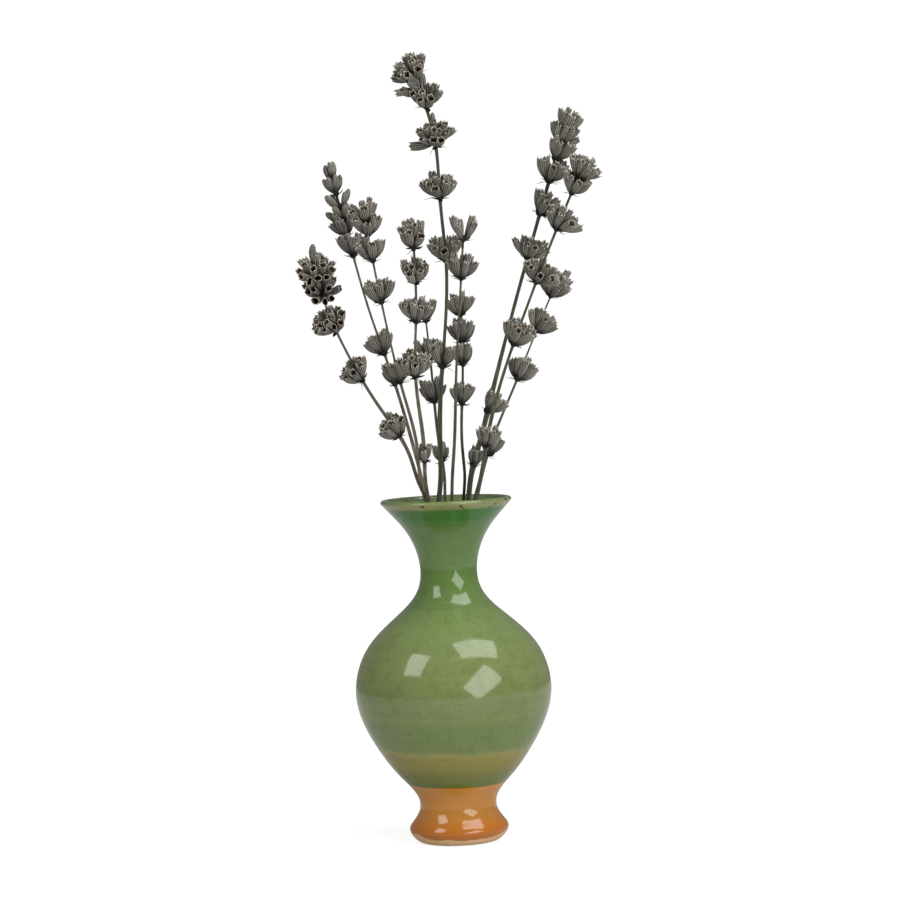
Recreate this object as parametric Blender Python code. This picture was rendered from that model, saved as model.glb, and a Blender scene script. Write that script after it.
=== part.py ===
"""Ceramic bud vase holding eleven dried lavender sprigs.

Units: metres in Blender, millimetres in the constants below.  +Z is up, and the
origin is the middle of the vase's flat unglazed base.  +X is to the right and +Y
is away from the front.

The vase is one thrown and fired piece.  Each sprig is a square stem with whorls of
flower cups threaded on it, and it can be drawn out of the vase along the straight
lower part of its stem.
"""
import math

import bmesh
import bpy
import numpy as np
from mathutils import Matrix, Vector

MM = 0.001

# ---------------------------------------------------------------- vase, mm
VASE_HEIGHT = 99.7      # top of the lip
LIP_Z = 98.7
LIP_RADIUS = 19.0
NECK_RADIUS = 8.2       # narrowest place, outside
NECK_Z = 78.5
BELLY_RADIUS = 28.4     # widest place
BELLY_Z = 43.0
WAIST_RADIUS = 11.2     # above the foot
WAIST_Z = 9.8
FOOT_RADIUS = 14.4      # rolled foot
FOOT_Z = 3.9
BASE_RADIUS = 12.2      # flat disc that stands on the table

WALL_BELLY = 2.6
WALL_NECK = 2.1
WALL_LIP = 1.7
FLOOR_Z = 8.0           # inside bottom
BOWL_Z = 15.0           # the inside rounds into its floor below this

VASE_SEGMENTS = 44

# the turned outline between those sizes: height and outside radius
OUTLINE = [
    (1.2, 13.2),
    (FOOT_Z, FOOT_RADIUS),
    (6.4, 12.9),
    (WAIST_Z, WAIST_RADIUS),
    (13.6, 11.9),
    (19.5, 16.8),
    (27.0, 22.3),
    (35.0, 26.5),
    (BELLY_Z, BELLY_RADIUS),
    (51.0, 27.3),
    (58.5, 23.3),
    (64.5, 17.2),
    (70.5, 10.9),
    (NECK_Z, NECK_RADIUS),
    (85.5, 9.5),
    (91.5, 12.7),
    (96.5, 17.0),
    (LIP_Z, LIP_RADIUS),
]

# ---------------------------------------------------------------- sprigs, mm
NECK_LEVEL = 79.0       # height at which "neck" below is given
MOUTH_LEVEL = 99.5      # height at which "mouth" below is given
STRAIGHT_TO = 103.5     # the stem is straight from its end to this height
FIT_GAP = 0.4           # between a stem and the hole through a whorl
WALL_GAP = 0.6          # between a stem's end and the inside of the vase
LIFT = 0.092            # metres that a sprig travels to come out of the vase

# Each sprig:
#   stem    how thick the square stem looks: 1.19 of its side
#   neck    x, y of its middle line in the neck, mouth: the same at the mouth
#   route   height, x, y that the middle line passes above the mouth
#   tip     height of the middle, radius and height of the cluster at its end
#   whorls  height up the vase, radius and height of each cluster, from the top down
SPRIGS = [
    # far left, bows outward
    {"stem": 1.2, "green": False, "neck": (3.5, -1.2), "mouth": (-5.3, -6.1),
     "route": [(113.5, -10, -9.5), (127.5, -18, -13), (141.5, -25.5, -16.5), (155, -31, -20.5), (169, -34.5, -24)],
     "tip": (167.2, 5.5, 12.9), "whorls": [(152.5, 5.3, 6.5), (138, 5.1, 6.5), (121, 4.2, 5.5)]},
    # left, ends in closed buds
    {"stem": 1.2, "green": False, "neck": (-4.1, 2.3), "mouth": (-6.2, 4.7),
     "route": [(113.5, -8.5, 6.5), (133.5, -13.5, 8), (153, -19.5, 9.5), (173, -24.5, 10.5), (192.5, -29, 11)],
     "tip": (190.5, 3.5, 11), "whorls": [(174, 4.9, 6), (145, 4.8, 6), (134.5, 2.5, 3)]},
    # left
    {"stem": 1.1, "green": False, "neck": (-0.6, -1.1), "mouth": (-5.7, -1.7),
     "route": [(113.5, -7.5, -2), (131, -11, -2.5), (148, -14.5, -3.5), (165.5, -17.5, -4), (182.5, -20, -4.5)],
     "tip": (181.7, 4.8, 8.4), "whorls": [(172, 4.8, 6), (160, 4.9, 6), (136.5, 4.4, 5.5)]},
    # left of the middle, towards the front
    {"stem": 1.3, "green": False, "neck": (-2.4, -1.7), "mouth": (-4.9, -8.4),
     "route": [(113.5, -5.5, -12.5), (134, -7, -18.5), (154.5, -6, -24.5), (175, -6, -30)],
     "tip": (175, 4, 7), "whorls": [(165, 4.6, 6), (154, 4.9, 6), (138.5, 4.8, 6), (113, 3, 4)]},
    # behind the middle
    {"stem": 1, "green": True, "neck": (-1, -4), "mouth": (-0.2, 2.2),
     "route": [(113.5, -1, 7), (134.5, -2.5, 14), (155.5, -4, 20.5)],
     "tip": (154, 4, 6), "whorls": [(142, 4.6, 6), (130, 4.4, 5.5), (112, 3, 4)]},
    # tallest, nearly upright
    {"stem": 1.7, "green": True, "neck": (-4.65, 0.2), "mouth": (-1.9, 1),
     "route": [(113.5, -1, 1.5), (131.5, 0, 1), (149.5, 2, -0.5), (167.5, 3, -2.5), (186, 2, -5.5), (204, 1, -10), (222, -4.5, -14.5)],
     "tip": (219.5, 4.9, 15), "whorls": [(204.5, 5.1, 6.5), (189.5, 5.1, 6.5), (172, 5.5, 7), (140.5, 4.4, 5.5)]},
    # middle front
    {"stem": 1.1, "green": True, "neck": (0.6, -4.9), "mouth": (1.8, -5.8),
     "route": [(113.5, 3, -6.5), (135, 4.5, -8.5), (157, 6.5, -12), (178.5, 8.5, -16)],
     "tip": (175.5, 3.6, 8), "whorls": [(165.5, 4.4, 5.5)]},
    # middle, behind 7
    {"stem": 1, "green": True, "neck": (3.2, 3.8), "mouth": (5.3, 4.3),
     "route": [(113.5, 5.5, 5), (135, 6.5, 7.5), (156, 6.5, 12)],
     "tip": (155.5, 4.2, 6.5), "whorls": [(147.5, 4.6, 6), (140.5, 3.8, 5), (129, 4, 5)]},
    # tall, right
    {"stem": 1.8, "green": True, "neck": (3.8, 1.5), "mouth": (6.7, 1.7),
     "route": [(113.5, 10, 2), (132, 15.5, 1.5), (150.5, 21, 1), (169.5, 27, 0), (188, 33, -1.5), (206.5, 39, -3.5)],
     "tip": (203.7, 4.6, 13.4), "whorls": [(193, 5.1, 6.5), (184, 5.5, 7), (171.5, 5.5, 7), (126.5, 3.8, 5), (110.5, 2.7, 3.5)]},
    # right, in front of 9
    {"stem": 1.3, "green": True, "neck": (2, -3.3), "mouth": (8.5, -6.1),
     "route": [(113.5, 12, -8), (133.5, 17.5, -10.5), (154, 25.5, -13.5), (174, 34, -16.5), (194.5, 43.5, -20)],
     "tip": (191.5, 4.6, 10.5), "whorls": [(178.5, 5.3, 6.5), (164, 5.5, 7), (146.5, 5.1, 6.5), (117, 4, 5)]},
    # right, towards the back
    {"stem": 0.9, "green": True, "neck": (3.9, -3.1), "mouth": (9.3, 2.2),
     "route": [(113.5, 13.5, 6), (131, 21.5, 11.5), (148.5, 29.5, 18), (166, 38, 24.5)],
     "tip": (161, 4.9, 8), "whorls": [(149.5, 5.1, 6.5), (135.5, 4.8, 6), (113.5, 3.4, 4.5)]},
]


# ---------------------------------------------------------------- curves
def spline(stations, start_slope=None):
    """A twice-smooth curve through stations, [(t, v), ...]. Returns value(t)."""
    t = np.array([s[0] for s in stations], float)
    v = np.array([s[1:] for s in stations], float)
    n = len(t)
    h = np.diff(t)
    matrix = np.zeros((n, n))
    right = np.zeros((n, v.shape[1]))
    if start_slope is None:
        matrix[0, 0] = 1
    else:
        matrix[0, :2] = 2 * h[0], h[0]
        right[0] = 6 * ((v[1] - v[0]) / h[0] - np.array(start_slope))
    matrix[-1, -1] = 1
    for i in range(1, n - 1):
        matrix[i, i - 1:i + 2] = h[i - 1], 2 * (h[i - 1] + h[i]), h[i]
        right[i] = 6 * ((v[i + 1] - v[i]) / h[i] - (v[i] - v[i - 1]) / h[i - 1])
    bend = np.linalg.solve(matrix, right)

    def value(at):
        i = int(np.clip(np.searchsorted(t, at) - 1, 0, n - 2))
        a, b = t[i + 1] - at, at - t[i]
        return ((bend[i] * a ** 3 + bend[i + 1] * b ** 3) / (6 * h[i])
                + (v[i] / h[i] - bend[i] * h[i] / 6) * a
                + (v[i + 1] / h[i] - bend[i + 1] * h[i] / 6) * b)

    return value


outline = spline(OUTLINE)


def outside(z):
    return float(outline(z)[0])


def wall(z):
    """Wall thickness square to the surface."""
    if z < 60:
        return WALL_BELLY
    if z < NECK_Z:
        return WALL_BELLY + (WALL_NECK - WALL_BELLY) * (z - 60) / (NECK_Z - 60)
    return WALL_NECK + (WALL_LIP - WALL_NECK) * (z - NECK_Z) / (LIP_Z - NECK_Z)


def inside_point(z):
    """The inside surface opposite outside height z, as (radius, height)."""
    slope = (outside(z + 0.05) - outside(z - 0.05)) / 0.1
    long = math.hypot(1, slope)
    return outside(z) - wall(z) / long, z + wall(z) * slope / long


def inside_radius(z):
    """Radius of the hollow at height z."""
    stations = [inside_point(BOWL_Z - 4 + 0.5 * k) for k in range(int(2 * (LIP_Z + 1.5 - BOWL_Z + 4)))]
    heights = [p[1] for p in stations]
    radii = [p[0] for p in stations]
    if z >= BOWL_Z:
        return float(np.interp(z, heights, radii))
    if z <= FLOOR_Z:
        return 0.0
    top = float(np.interp(BOWL_Z, heights, radii))
    return top * math.sqrt(1 - ((BOWL_Z - z) / (BOWL_Z - FLOOR_Z)) ** 2)


def vase_profile():
    """(radius, height) from the middle of the base, up the outside, over the lip
    and down the inside to the middle of the floor."""
    points = [(BASE_RADIUS, 0.0), (BASE_RADIUS + 0.8, 0.45)]
    heights = list(np.linspace(1.2, WAIST_Z, 7)) + list(np.linspace(12.2, 91.5, 24))
    heights += [94.2, 96.6, LIP_Z]
    points += [(outside(z), float(z)) for z in heights]
    points += [(LIP_RADIUS - 0.2, LIP_Z + 0.65), (LIP_RADIUS - 0.85, VASE_HEIGHT),
               (LIP_RADIUS - 1.7, VASE_HEIGHT - 0.1)]
    levels = [98.6, 96.5, 94.0, 91.0, 87.5, 84.0, 80.5, 77.0, 73.5, 70.5, 67.5, 64.5,
              61.5, 58.0, 53.5, 47.0, 41.0, 35.0, 28.5, 22.0, BOWL_Z, 11.5, 9.3, 8.4]
    points += [(inside_radius(z), z) for z in levels]
    return points


# ---------------------------------------------------------------- building
def material(name, colour, roughness, coat=0.0):
    made = bpy.data.materials.new(name)
    made.use_nodes = True
    shader = made.node_tree.nodes["Principled BSDF"]
    shader.inputs["Base Color"].default_value = (*colour, 1)
    shader.inputs["Roughness"].default_value = roughness
    shader.inputs["Metallic"].default_value = 0.0
    shader.inputs["Coat Weight"].default_value = coat
    made.diffuse_color = (*colour, 1)
    return made


def add_object(name, mesh_data, made, angle):
    bmesh.ops.recalc_face_normals(mesh_data, faces=mesh_data.faces)
    mesh = bpy.data.meshes.new(name)
    mesh_data.to_mesh(mesh)
    mesh_data.free()
    mesh.shade_smooth()
    mesh.set_sharp_from_angle(angle=math.radians(angle))
    mesh.materials.append(made)
    obj = bpy.data.objects.new(name, mesh)
    bpy.context.scene.collection.objects.link(obj)
    return obj


def skin(rings, mesh_data, close_first=True, close_last=True, loop=False):
    """Quads between neighbouring rings of the same number of vertices."""
    made = [[mesh_data.verts.new(p) for p in ring] for ring in rings]
    pairs = list(zip(made, made[1:]))
    if loop:
        pairs.append((made[-1], made[0]))
    for low, high in pairs:
        n = len(low)
        for i in range(n):
            j = (i + 1) % n
            mesh_data.faces.new((low[i], low[j], high[j], high[i]))
    if not loop and close_first:
        mesh_data.faces.new(made[0][::-1])
    if not loop and close_last:
        mesh_data.faces.new(made[-1])
    return made


def build_vase():
    mesh_data = bmesh.new()
    rings = []
    for radius, height in vase_profile():
        rings.append([Vector((radius * MM * math.cos(a), radius * MM * math.sin(a), height * MM))
                      for a in (2 * math.pi * k / VASE_SEGMENTS for k in range(VASE_SEGMENTS))])
    made = skin(rings, mesh_data, close_first=True, close_last=False)
    floor = mesh_data.verts.new((0, 0, FLOOR_Z * MM))
    last = made[-1]
    for i in range(VASE_SEGMENTS):
        mesh_data.faces.new((last[i], last[(i + 1) % VASE_SEGMENTS], floor))
    glaze = material("green_glaze", (0.205, 0.255, 0.095), 0.16, 0.6)
    return add_object("vase_body", mesh_data, glaze, 50)


def lean(sprig):
    """Change of x and y for each millimetre of height, on the straight part."""
    span = MOUTH_LEVEL - NECK_LEVEL
    return ((sprig["mouth"][0] - sprig["neck"][0]) / span,
            (sprig["mouth"][1] - sprig["neck"][1]) / span)


def on_line(sprig, z):
    sx, sy = lean(sprig)
    return Vector((sprig["neck"][0] + sx * (z - NECK_LEVEL),
                   sprig["neck"][1] + sy * (z - NECK_LEVEL), z))


def centreline(sprig):
    """point(z) along the whole stem."""
    start = on_line(sprig, STRAIGHT_TO)
    upper = spline([(STRAIGHT_TO, start.x, start.y)] + list(sprig["route"]), lean(sprig))

    def point(z):
        if z <= STRAIGHT_TO:
            return on_line(sprig, z)
        x, y = upper(z)
        return Vector((float(x), float(y), z))

    return point


def stem_end(sprig):
    """Height at which the stem's lower end meets the floor or the wall."""
    reach = sprig["stem"] * 0.6 + WALL_GAP
    z = 60.0
    while z > FLOOR_Z + reach:
        low = on_line(sprig, z - 0.25)
        if math.hypot(low.x, low.y) + reach * 1.3 > inside_radius(z - 0.25 - reach * 0.5):
            break
        z -= 0.25
    return z


def tangent(point, z):
    return (point(z + 0.5) - point(z - 0.5)).normalized()


def square_axes(along):
    side = Vector((0, 1, 0)).cross(along).normalized()
    return side, along.cross(side).normalized()


def build_stem(name, sprig, made):
    point = centreline(sprig)
    top = sprig["tip"][0] - sprig["tip"][2] * 0.5
    heights = [stem_end(sprig), STRAIGHT_TO]
    count = max(3, round((top - STRAIGHT_TO) / 8.5))
    heights += [STRAIGHT_TO + (top - STRAIGHT_TO) * (k + 1) / count for k in range(count)]
    rings = []
    for z in heights:
        here, along = point(z), tangent(point, z)
        side, front = square_axes(along)
        taper = 1.0 if z <= STRAIGHT_TO else 1.0 - 0.3 * (z - STRAIGHT_TO) / (top - STRAIGHT_TO)
        half = sprig["stem"] * 0.42 * taper
        rings.append([(here + side * half * a + front * half * b) * MM
                      for a, b in ((-1, -1), (1, -1), (1, 1), (-1, 1))])
    mesh_data = bmesh.new()
    skin(rings, mesh_data)
    return add_object(name, mesh_data, made, 30)


def cup_rings(centre, along, outline_points, lobes, depth):
    """Rings of a fluted cup. outline_points are (height, radius, how far fluted)."""
    side, front = square_axes(along)
    sides = 2 * lobes
    rings = []
    for height, radius, fluted in outline_points:
        ring = []
        for k in range(sides):
            a = 2 * math.pi * k / sides
            r = radius * (1 - depth * fluted * (k % 2))
            ring.append((centre + along * height + side * r * math.cos(a) + front * r * math.sin(a)) * MM)
        rings.append(ring)
    return rings


def build_whorl(name, sprig, station, made):
    """A ring of flower cups round the stem, open at the top, with a hole for the stem."""
    z, radius, height = station
    point = centreline(sprig)
    hole = sprig["stem"] * 0.6 + FIT_GAP
    outline_points = [
        (-0.50 * height, hole, 0),
        (-0.50 * height, hole + 0.7, 0),
        (-0.12 * height, 0.70 * radius, 0.6),
        (0.30 * height, radius, 1),
        (0.50 * height, 0.86 * radius, 1),
        (0.22 * height, hole, 0),
    ]
    mesh_data = bmesh.new()
    skin(cup_rings(point(z), tangent(point, z), outline_points, 6, 0.16), mesh_data, loop=True)
    return add_object(name, mesh_data, made, 40)


def build_tip(name, sprig, made):
    """The cluster that ends the sprig, sitting on the stem's end."""
    z, radius, height = sprig["tip"]
    point = centreline(sprig)
    along = tangent(point, z - 0.5 * height)
    base = point(z - 0.5 * height) + along * 0.3
    outline_points = [
        (0.0, 0.9, 0),
        (0.35 * height, 0.80 * radius, 0.7),
        (0.70 * height, radius, 1),
        (0.95 * height, 0.72 * radius, 1),
    ]
    mesh_data = bmesh.new()
    skin(cup_rings(base, along, outline_points, 6, 0.16), mesh_data)
    return add_object(name, mesh_data, made, 40)


def clear_scene():
    for obj in list(bpy.data.objects):
        bpy.data.objects.remove(obj, do_unlink=True)


def build():
    clear_scene()
    bpy.context.scene.unit_settings.system = "METRIC"
    build_vase()
    brown = material("brown_stem", (0.105, 0.082, 0.055), 0.7)
    green = material("olive_stem", (0.105, 0.120, 0.052), 0.65)
    flower = material("dried_calyx", (0.150, 0.132, 0.108), 0.85)
    for number, sprig in enumerate(SPRIGS, start=1):
        prefix = f"sprig_{number:02d}"
        holder = bpy.data.objects.new(f"{prefix}_axis", None)
        bpy.context.scene.collection.objects.link(holder)
        holder.location = on_line(sprig, NECK_LEVEL) * MM
        pieces = [build_stem(f"{prefix}_stem", sprig, green if sprig["green"] else brown),
                  build_tip(f"{prefix}_tip", sprig, flower)]
        for k, station in enumerate(sprig["whorls"], start=1):
            pieces.append(build_whorl(f"{prefix}_whorl_{k}", sprig, station, flower))
        for piece in pieces:
            # the meshes are written about the vase's origin, so the shift is taken back out
            piece.data.transform(Matrix.Translation(-holder.location))
            piece.parent = holder


build()
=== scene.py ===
"""The looks of the ceramic bud vase and its eleven dried lavender sprigs, built round
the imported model.

The vase is turned again from the same profile, finely, and glazed by height.  Every
cluster of the CAD model becomes separate ribbed calyces with bracts and threads, and
every stem becomes a square stem with ridged corners.  Millimetres in the tables,
metres in the meshes.
"""
import math

import bpy
import numpy as np
from mathutils import Matrix, Vector


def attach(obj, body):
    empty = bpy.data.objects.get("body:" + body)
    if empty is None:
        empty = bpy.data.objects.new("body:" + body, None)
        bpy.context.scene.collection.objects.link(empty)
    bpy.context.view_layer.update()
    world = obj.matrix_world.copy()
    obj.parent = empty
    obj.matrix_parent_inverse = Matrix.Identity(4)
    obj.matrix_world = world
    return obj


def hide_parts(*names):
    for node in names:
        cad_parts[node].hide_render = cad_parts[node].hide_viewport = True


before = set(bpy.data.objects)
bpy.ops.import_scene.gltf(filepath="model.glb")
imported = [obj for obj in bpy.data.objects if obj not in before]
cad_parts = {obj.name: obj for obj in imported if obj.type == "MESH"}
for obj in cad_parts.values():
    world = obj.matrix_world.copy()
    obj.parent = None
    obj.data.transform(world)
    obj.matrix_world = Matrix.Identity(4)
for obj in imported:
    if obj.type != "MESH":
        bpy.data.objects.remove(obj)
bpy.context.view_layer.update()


MM = 0.001

# ---------------------------------------------------------------- vase, mm
VASE_HEIGHT = 99.7      # top of the lip
LIP_Z = 98.7
LIP_RADIUS = 19.0
NECK_RADIUS = 8.2       # narrowest place, outside
NECK_Z = 78.5
BELLY_RADIUS = 28.4     # widest place
BELLY_Z = 43.0
WAIST_RADIUS = 11.2     # above the foot
WAIST_Z = 9.8
FOOT_RADIUS = 14.4      # rolled foot
FOOT_Z = 3.9
BASE_RADIUS = 12.2      # flat disc that stands on the table

WALL_BELLY = 2.6
WALL_NECK = 2.1
WALL_LIP = 1.7
FLOOR_Z = 8.0           # inside bottom
BOWL_Z = 15.0           # the inside rounds into its floor below this

# the turned outline between those sizes: height and outside radius
OUTLINE = [
    (1.2, 13.2),
    (FOOT_Z, FOOT_RADIUS),
    (6.4, 12.9),
    (WAIST_Z, WAIST_RADIUS),
    (13.6, 11.9),
    (19.5, 16.8),
    (27.0, 22.3),
    (35.0, 26.5),
    (BELLY_Z, BELLY_RADIUS),
    (51.0, 27.3),
    (58.5, 23.3),
    (64.5, 17.2),
    (70.5, 10.9),
    (NECK_Z, NECK_RADIUS),
    (85.5, 9.5),
    (91.5, 12.7),
    (96.5, 17.0),
    (LIP_Z, LIP_RADIUS),
]

# ---------------------------------------------------------------- sprigs, mm
NECK_LEVEL = 79.0       # height at which "neck" below is given
MOUTH_LEVEL = 99.5      # height at which "mouth" below is given
STRAIGHT_TO = 103.5     # the stem is straight from its end to this height
FIT_GAP = 0.4           # between a stem and the hole through a whorl
WALL_GAP = 0.6          # between a stem's end and the inside of the vase
LIFT = 0.092            # metres that a sprig travels to come out of the vase

# Each sprig:
#   stem    how thick the square stem looks: 1.19 of its side
#   neck    x, y of its middle line in the neck, mouth: the same at the mouth
#   route   height, x, y that the middle line passes above the mouth
#   tip     height of the middle, radius and height of the cluster at its end
#   whorls  height up the vase, radius and height of each cluster, from the top down
SPRIGS = [
    # far left, bows outward
    {"stem": 1.2, "green": False, "neck": (3.5, -1.2), "mouth": (-5.3, -6.1),
     "route": [(113.5, -10, -9.5), (127.5, -18, -13), (141.5, -25.5, -16.5), (155, -31, -20.5), (169, -34.5, -24)],
     "tip": (167.2, 5.5, 12.9), "whorls": [(152.5, 5.3, 6.5), (138, 5.1, 6.5), (121, 4.2, 5.5)]},
    # left, ends in closed buds
    {"stem": 1.2, "green": False, "neck": (-4.1, 2.3), "mouth": (-6.2, 4.7),
     "route": [(113.5, -8.5, 6.5), (133.5, -13.5, 8), (153, -19.5, 9.5), (173, -24.5, 10.5), (192.5, -29, 11)],
     "tip": (190.5, 3.5, 11), "whorls": [(174, 4.9, 6), (145, 4.8, 6), (134.5, 2.5, 3)]},
    # left
    {"stem": 1.1, "green": False, "neck": (-0.6, -1.1), "mouth": (-5.7, -1.7),
     "route": [(113.5, -7.5, -2), (131, -11, -2.5), (148, -14.5, -3.5), (165.5, -17.5, -4), (182.5, -20, -4.5)],
     "tip": (181.7, 4.8, 8.4), "whorls": [(172, 4.8, 6), (160, 4.9, 6), (136.5, 4.4, 5.5)]},
    # left of the middle, towards the front
    {"stem": 1.3, "green": False, "neck": (-2.4, -1.7), "mouth": (-4.9, -8.4),
     "route": [(113.5, -5.5, -12.5), (134, -7, -18.5), (154.5, -6, -24.5), (175, -6, -30)],
     "tip": (175, 4, 7), "whorls": [(165, 4.6, 6), (154, 4.9, 6), (138.5, 4.8, 6), (113, 3, 4)]},
    # behind the middle
    {"stem": 1, "green": True, "neck": (-1, -4), "mouth": (-0.2, 2.2),
     "route": [(113.5, -1, 7), (134.5, -2.5, 14), (155.5, -4, 20.5)],
     "tip": (154, 4, 6), "whorls": [(142, 4.6, 6), (130, 4.4, 5.5), (112, 3, 4)]},
    # tallest, nearly upright
    {"stem": 1.7, "green": True, "neck": (-4.65, 0.2), "mouth": (-1.9, 1),
     "route": [(113.5, -1, 1.5), (131.5, 0, 1), (149.5, 2, -0.5), (167.5, 3, -2.5), (186, 2, -5.5), (204, 1, -10), (222, -4.5, -14.5)],
     "tip": (219.5, 4.9, 15), "whorls": [(204.5, 5.1, 6.5), (189.5, 5.1, 6.5), (172, 5.5, 7), (140.5, 4.4, 5.5)]},
    # middle front
    {"stem": 1.1, "green": True, "neck": (0.6, -4.9), "mouth": (1.8, -5.8),
     "route": [(113.5, 3, -6.5), (135, 4.5, -8.5), (157, 6.5, -12), (178.5, 8.5, -16)],
     "tip": (175.5, 3.6, 8), "whorls": [(165.5, 4.4, 5.5)]},
    # middle, behind 7
    {"stem": 1, "green": True, "neck": (3.2, 3.8), "mouth": (5.3, 4.3),
     "route": [(113.5, 5.5, 5), (135, 6.5, 7.5), (156, 6.5, 12)],
     "tip": (155.5, 4.2, 6.5), "whorls": [(147.5, 4.6, 6), (140.5, 3.8, 5), (129, 4, 5)]},
    # tall, right
    {"stem": 1.8, "green": True, "neck": (3.8, 1.5), "mouth": (6.7, 1.7),
     "route": [(113.5, 10, 2), (132, 15.5, 1.5), (150.5, 21, 1), (169.5, 27, 0), (188, 33, -1.5), (206.5, 39, -3.5)],
     "tip": (203.7, 4.6, 13.4), "whorls": [(193, 5.1, 6.5), (184, 5.5, 7), (171.5, 5.5, 7), (126.5, 3.8, 5), (110.5, 2.7, 3.5)]},
    # right, in front of 9
    {"stem": 1.3, "green": True, "neck": (2, -3.3), "mouth": (8.5, -6.1),
     "route": [(113.5, 12, -8), (133.5, 17.5, -10.5), (154, 25.5, -13.5), (174, 34, -16.5), (194.5, 43.5, -20)],
     "tip": (191.5, 4.6, 10.5), "whorls": [(178.5, 5.3, 6.5), (164, 5.5, 7), (146.5, 5.1, 6.5), (117, 4, 5)]},
    # right, towards the back
    {"stem": 0.9, "green": True, "neck": (3.9, -3.1), "mouth": (9.3, 2.2),
     "route": [(113.5, 13.5, 6), (131, 21.5, 11.5), (148.5, 29.5, 18), (166, 38, 24.5)],
     "tip": (161, 4.9, 8), "whorls": [(149.5, 5.1, 6.5), (135.5, 4.8, 6), (113.5, 3.4, 4.5)]},
]


# ---------------------------------------------------------------- curves
def spline(stations, start_slope=None):
    """A twice-smooth curve through stations, [(t, v), ...]. Returns value(t)."""
    t = np.array([s[0] for s in stations], float)
    v = np.array([s[1:] for s in stations], float)
    n = len(t)
    h = np.diff(t)
    matrix = np.zeros((n, n))
    right = np.zeros((n, v.shape[1]))
    if start_slope is None:
        matrix[0, 0] = 1
    else:
        matrix[0, :2] = 2 * h[0], h[0]
        right[0] = 6 * ((v[1] - v[0]) / h[0] - np.array(start_slope))
    matrix[-1, -1] = 1
    for i in range(1, n - 1):
        matrix[i, i - 1:i + 2] = h[i - 1], 2 * (h[i - 1] + h[i]), h[i]
        right[i] = 6 * ((v[i + 1] - v[i]) / h[i] - (v[i] - v[i - 1]) / h[i - 1])
    bend = np.linalg.solve(matrix, right)

    def value(at):
        i = int(np.clip(np.searchsorted(t, at) - 1, 0, n - 2))
        a, b = t[i + 1] - at, at - t[i]
        return ((bend[i] * a ** 3 + bend[i + 1] * b ** 3) / (6 * h[i])
                + (v[i] / h[i] - bend[i] * h[i] / 6) * a
                + (v[i + 1] / h[i] - bend[i + 1] * h[i] / 6) * b)

    return value


outline = spline(OUTLINE)


def outside(z):
    return float(outline(z)[0])


def wall(z):
    """Wall thickness square to the surface."""
    if z < 60:
        return WALL_BELLY
    if z < NECK_Z:
        return WALL_BELLY + (WALL_NECK - WALL_BELLY) * (z - 60) / (NECK_Z - 60)
    return WALL_NECK + (WALL_LIP - WALL_NECK) * (z - NECK_Z) / (LIP_Z - NECK_Z)


def inside_point(z):
    """The inside surface opposite outside height z, as (radius, height)."""
    slope = (outside(z + 0.05) - outside(z - 0.05)) / 0.1
    long = math.hypot(1, slope)
    return outside(z) - wall(z) / long, z + wall(z) * slope / long


INSIDE = [inside_point(BOWL_Z - 4 + 0.5 * k) for k in range(int(2 * (LIP_Z + 1.5 - BOWL_Z + 4)))]


def inside_radius(z):
    """Radius of the hollow at height z."""
    heights = [p[1] for p in INSIDE]
    radii = [p[0] for p in INSIDE]
    if z >= BOWL_Z:
        return float(np.interp(z, heights, radii))
    if z <= FLOOR_Z:
        return 0.0
    top = float(np.interp(BOWL_Z, heights, radii))
    return top * math.sqrt(1 - ((BOWL_Z - z) / (BOWL_Z - FLOOR_Z)) ** 2)


def lean(sprig):
    """Change of x and y for each millimetre of height, on the straight part."""
    span = MOUTH_LEVEL - NECK_LEVEL
    return ((sprig["mouth"][0] - sprig["neck"][0]) / span,
            (sprig["mouth"][1] - sprig["neck"][1]) / span)


def on_line(sprig, z):
    sx, sy = lean(sprig)
    return Vector((sprig["neck"][0] + sx * (z - NECK_LEVEL),
                   sprig["neck"][1] + sy * (z - NECK_LEVEL), z))


def centreline(sprig):
    """point(z) along the whole stem."""
    start = on_line(sprig, STRAIGHT_TO)
    upper = spline([(STRAIGHT_TO, start.x, start.y)] + list(sprig["route"]), lean(sprig))

    def point(z):
        if z <= STRAIGHT_TO:
            return on_line(sprig, z)
        x, y = upper(z)
        return Vector((float(x), float(y), z))

    return point


def stem_end(sprig):
    """Height at which the stem's lower end meets the floor or the wall."""
    reach = sprig["stem"] * 0.6 + WALL_GAP
    z = 60.0
    while z > FLOOR_Z + reach:
        low = on_line(sprig, z - 0.25)
        if math.hypot(low.x, low.y) + reach * 1.3 > inside_radius(z - 0.25 - reach * 0.5):
            break
        z -= 0.25
    return z


def tangent(point, z):
    return (point(z + 0.5) - point(z - 0.5)).normalized()


def square_axes(along):
    side = Vector((0, 1, 0)).cross(along).normalized()
    return side, along.cross(side).normalized()


# ---------------------------------------------------------------- arrays
def unit(v):
    v = np.asarray(v, float)
    return v / np.linalg.norm(v)


def srgb(r, g, b):
    """A colour given as 0 to 255 on screen, as the linear values that shaders take."""
    made = []
    for c in (r, g, b):
        c = c / 255
        made.append(c / 12.92 if c <= 0.04045 else ((c + 0.055) / 1.055) ** 2.4)
    return (*made, 1.0)


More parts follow.
